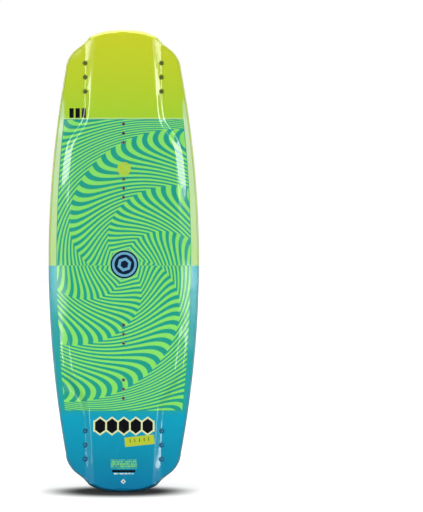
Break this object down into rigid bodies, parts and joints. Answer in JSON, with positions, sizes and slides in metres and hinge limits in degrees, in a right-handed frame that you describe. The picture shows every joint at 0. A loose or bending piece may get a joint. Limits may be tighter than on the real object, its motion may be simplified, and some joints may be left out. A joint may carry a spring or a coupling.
{
  "type": "wakeboard",
  "caption": "Twin-tip wakeboard with continuous rocker, raised stepped deck, threaded binding inserts and bolt-on corner fins.",
  "frame": {"origin": "bottom centre of the whole object's box: under the tail's tip, on the board's centre line, halfway between the deck-side tips and the back of the base", "axes": "+Z from the tail to the nose, +X across the board, -Y out of the deck that the rider stands on, +Y out of the base with the fins"},
  "size_m": [0.4192, 0.07, 1.28],
  "materials": {
    "deck_print": "gloss clear topsheet over a striped print, yellow-lime at the nose and blue at the tail",
    "base_print": "gloss base sheet, yellow-lime at the nose fading through green to deep blue at the tail",
    "core_foam": "shaped closed-cell foam",
    "edge_plastic": "gloss moulded edge, lime at the nose half and blue at the tail half",
    "fibreglass": "glass laminate sheet",
    "stainless": "satin stainless steel",
    "fin_plastic": "gloss black moulded fibre-filled nylon",
    "ferrule_plastic": "moulded nylon",
    "brass": "knurled brass"
  },
  "bodies": {
    "board": {"deck_laminate": "deck_print", "base_laminate": "base_print", "foam_core": "core_foam", "rail_left": "edge_plastic", "rail_right": "edge_plastic", "nose_insert_plate": "fibreglass", "nose_insert_1": "stainless", "nose_insert_2": "stainless", "nose_insert_3": "stainless", "nose_insert_4": "stainless", "nose_insert_5": "stainless", "nose_insert_6": "stainless", "nose_left_ferrule_1": "ferrule_plastic", "nose_left_ferrule_2": "ferrule_plastic", "nose_left_ferrule_3": "ferrule_plastic", "nose_right_ferrule_1": "ferrule_plastic", "nose_right_ferrule_2": "ferrule_plastic", "nose_right_ferrule_3": "ferrule_plastic", "tail_insert_plate": "fibreglass", "tail_insert_1": "stainless", "tail_insert_2": "stainless", "tail_insert_3": "stainless", "tail_insert_4": "stainless", "tail_insert_5": "stainless", "tail_insert_6": "stainless", "tail_left_ferrule_1": "ferrule_plastic", "tail_left_ferrule_2": "ferrule_plastic", "tail_left_ferrule_3": "ferrule_plastic", "tail_right_ferrule_1": "ferrule_plastic", "tail_right_ferrule_2": "ferrule_plastic", "tail_right_ferrule_3": "ferrule_plastic"},
    "nose_left_screw_1": {"nose_left_screw_1": "stainless"},
    "nose_left_screw_2": {"nose_left_screw_2": "stainless"},
    "nose_left_screw_3": {"nose_left_screw_3": "stainless"},
    "nose_left_fin": {"nose_left_fin": "fin_plastic", "nose_left_nut_1": "brass", "nose_left_nut_2": "brass", "nose_left_nut_3": "brass"},
    "nose_right_screw_1": {"nose_right_screw_1": "stainless"},
    "nose_right_screw_2": {"nose_right_screw_2": "stainless"},
    "nose_right_screw_3": {"nose_right_screw_3": "stainless"},
    "nose_right_fin": {"nose_right_fin": "fin_plastic", "nose_right_nut_1": "brass", "nose_right_nut_2": "brass", "nose_right_nut_3": "brass"},
    "tail_left_screw_1": {"tail_left_screw_1": "stainless"},
    "tail_left_screw_2": {"tail_left_screw_2": "stainless"},
    "tail_left_screw_3": {"tail_left_screw_3": "stainless"},
    "tail_left_fin": {"tail_left_fin": "fin_plastic", "tail_left_nut_1": "brass", "tail_left_nut_2": "brass", "tail_left_nut_3": "brass"},
    "tail_right_screw_1": {"tail_right_screw_1": "stainless"},
    "tail_right_screw_2": {"tail_right_screw_2": "stainless"},
    "tail_right_screw_3": {"tail_right_screw_3": "stainless"},
    "tail_right_fin": {"tail_right_fin": "fin_plastic", "tail_right_nut_1": "brass", "tail_right_nut_2": "brass", "tail_right_nut_3": "brass"}
  },
  "joints": [
    {"name": "nose_left_screw_1_out", "type": "slide", "parent": "board", "child": "nose_left_screw_1", "axis": [0, -0.99, -0.1411], "range_m": [0, 0.025]},
    {"name": "nose_left_screw_2_out", "type": "slide", "parent": "board", "child": "nose_left_screw_2", "axis": [0, -0.99, -0.1411], "range_m": [0, 0.025]},
    {"name": "nose_left_screw_3_out", "type": "slide", "parent": "board", "child": "nose_left_screw_3", "axis": [0, -0.99, -0.1411], "range_m": [0, 0.025]},
    {"name": "nose_left_fin_off", "type": "slide", "parent": "board", "child": "nose_left_fin", "axis": [0, 0.99, 0.1411], "range_m": [0, 0.03]},
    {"name": "nose_right_screw_1_out", "type": "slide", "parent": "board", "child": "nose_right_screw_1", "axis": [0, -0.99, -0.1411], "range_m": [0, 0.025]},
    {"name": "nose_right_screw_2_out", "type": "slide", "parent": "board", "child": "nose_right_screw_2", "axis": [0, -0.99, -0.1411], "range_m": [0, 0.025]},
    {"name": "nose_right_screw_3_out", "type": "slide", "parent": "board", "child": "nose_right_screw_3", "axis": [0, -0.99, -0.1411], "range_m": [0, 0.025]},
    {"name": "nose_right_fin_off", "type": "slide", "parent": "board", "child": "nose_right_fin", "axis": [0, 0.99, 0.1411], "range_m": [0, 0.03]},
    {"name": "tail_left_screw_1_out", "type": "slide", "parent": "board", "child": "tail_left_screw_1", "axis": [0, -0.99, 0.1411], "range_m": [0, 0.025]},
    {"name": "tail_left_screw_2_out", "type": "slide", "parent": "board", "child": "tail_left_screw_2", "axis": [0, -0.99, 0.1411], "range_m": [0, 0.025]},
    {"name": "tail_left_screw_3_out", "type": "slide", "parent": "board", "child": "tail_left_screw_3", "axis": [0, -0.99, 0.1411], "range_m": [0, 0.025]},
    {"name": "tail_left_fin_off", "type": "slide", "parent": "board", "child": "tail_left_fin", "axis": [0, 0.99, -0.1411], "range_m": [0, 0.03]},
    {"name": "tail_right_screw_1_out", "type": "slide", "parent": "board", "child": "tail_right_screw_1", "axis": [0, -0.99, 0.1411], "range_m": [0, 0.025]},
    {"name": "tail_right_screw_2_out", "type": "slide", "parent": "board", "child": "tail_right_screw_2", "axis": [0, -0.99, 0.1411], "range_m": [0, 0.025]},
    {"name": "tail_right_screw_3_out", "type": "slide", "parent": "board", "child": "tail_right_screw_3", "axis": [0, -0.99, 0.1411], "range_m": [0, 0.025]},
    {"name": "tail_right_fin_off", "type": "slide", "parent": "board", "child": "tail_right_fin", "axis": [0, 0.99, -0.1411], "range_m": [0, 0.03]}
  ]
}
